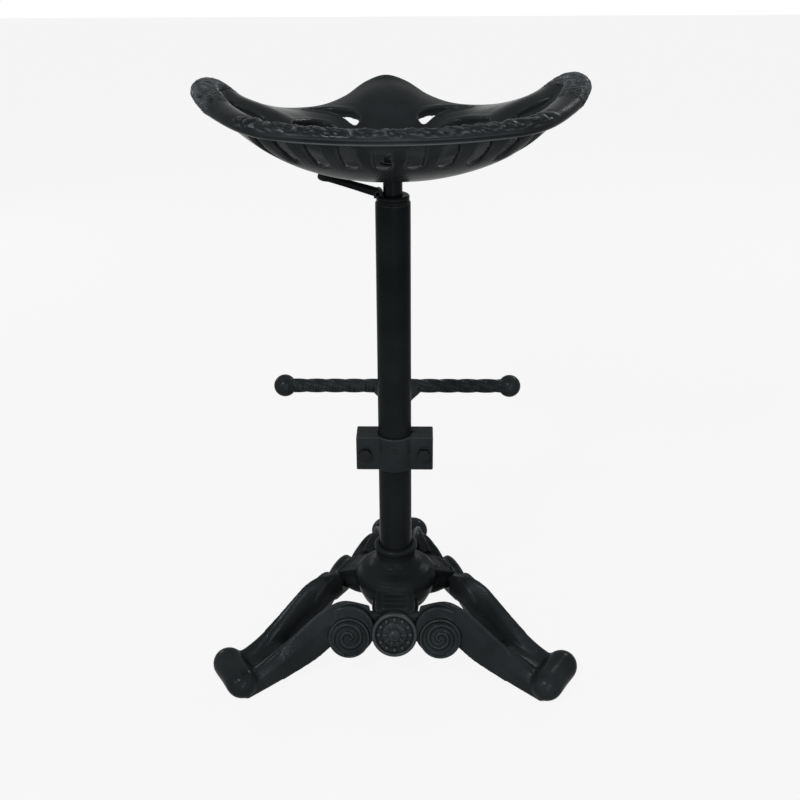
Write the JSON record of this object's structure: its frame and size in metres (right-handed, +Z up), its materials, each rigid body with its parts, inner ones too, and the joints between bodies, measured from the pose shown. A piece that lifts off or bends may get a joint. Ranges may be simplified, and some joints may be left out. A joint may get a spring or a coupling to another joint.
{
  "type": "tractor seat stool",
  "caption": "Adjustable stool with a cast pan seat on a swivelling stem, a tube column with a clamped twisted footrest bar, and a scroll base on forked legs",
  "frame": {"origin": "on the floor, under the middle of the stool's outline seen from above; the column's axis is 27.3 mm behind it, at y = -0.0273", "axes": "+Z is up, along the column; +Y is the way the sitter faces, over the single front leg; +X is the sitter's right"},
  "size_m": [0.4254, 0.4075, 0.678],
  "materials": {
    "cast_paint": "near-black satin paint over cast iron, soft highlights",
    "tube_paint": "near-black satin paint over smooth steel tube",
    "dark_steel": "blackened steel, slightly shinier than the paint",
    "bright_steel": "bright turned steel",
    "bronze": "sintered bronze bearing sleeve",
    "nylon": "off-white nylon"
  },
  "bodies": {
    "base": {"base_hub": "cast_paint", "rosette_rear": "cast_paint", "rosette_front_right": "cast_paint", "rosette_front_left": "cast_paint", "rosette_screw_rear": "dark_steel", "rosette_screw_front_right": "dark_steel", "rosette_screw_front_left": "dark_steel", "leg_rear_left": "cast_paint", "leg_rear_right": "cast_paint", "leg_front": "cast_paint", "column_tube": "tube_paint", "column_plug": "dark_steel", "column_washer": "dark_steel", "column_nut": "dark_steel", "guide_bush": "bronze", "top_cap": "tube_paint", "lever_pin": "bright_steel"},
    "stem": {"seat_stem": "dark_steel", "stem_slider": "nylon", "stem_flange": "dark_steel", "swivel_washer": "nylon", "pivot_bolt": "dark_steel"},
    "seat": {"seat_pan": "cast_paint", "seat_washer": "dark_steel"},
    "lever": {"lock_lever": "tube_paint"},
    "footrest": {"clamp_rear": "cast_paint", "clamp_set_screw": "dark_steel", "footrest_bracket": "cast_paint", "clamp_bolt_left": "dark_steel", "clamp_bolt_right": "dark_steel", "clamp_nut_left": "dark_steel", "clamp_nut_right": "dark_steel", "footrest_bar": "cast_paint", "ball_left": "cast_paint", "ball_right": "cast_paint"}
  },
  "joints": [
    {"name": "seat_height", "type": "slide", "parent": "base", "child": "stem", "axis": [0, 0, 1], "range_m": [0, 0.2]},
    {"name": "seat_swivel", "type": "hinge", "parent": "stem", "child": "seat", "pos_m": [0, -0.0273, 0.5837], "axis": [0, 0, 1], "continuous": true},
    {"name": "lock_lever_turn", "type": "hinge", "parent": "base", "child": "lever", "pos_m": [-0.0156, -0.0273, 0.5586], "axis": [0, -1, 0], "range_deg": [0, 20]},
    {"name": "footrest_height", "type": "slide", "parent": "base", "child": "footrest", "axis": [0, 0, 1], "range_m": [-0.09, 0.2]}
  ]
}
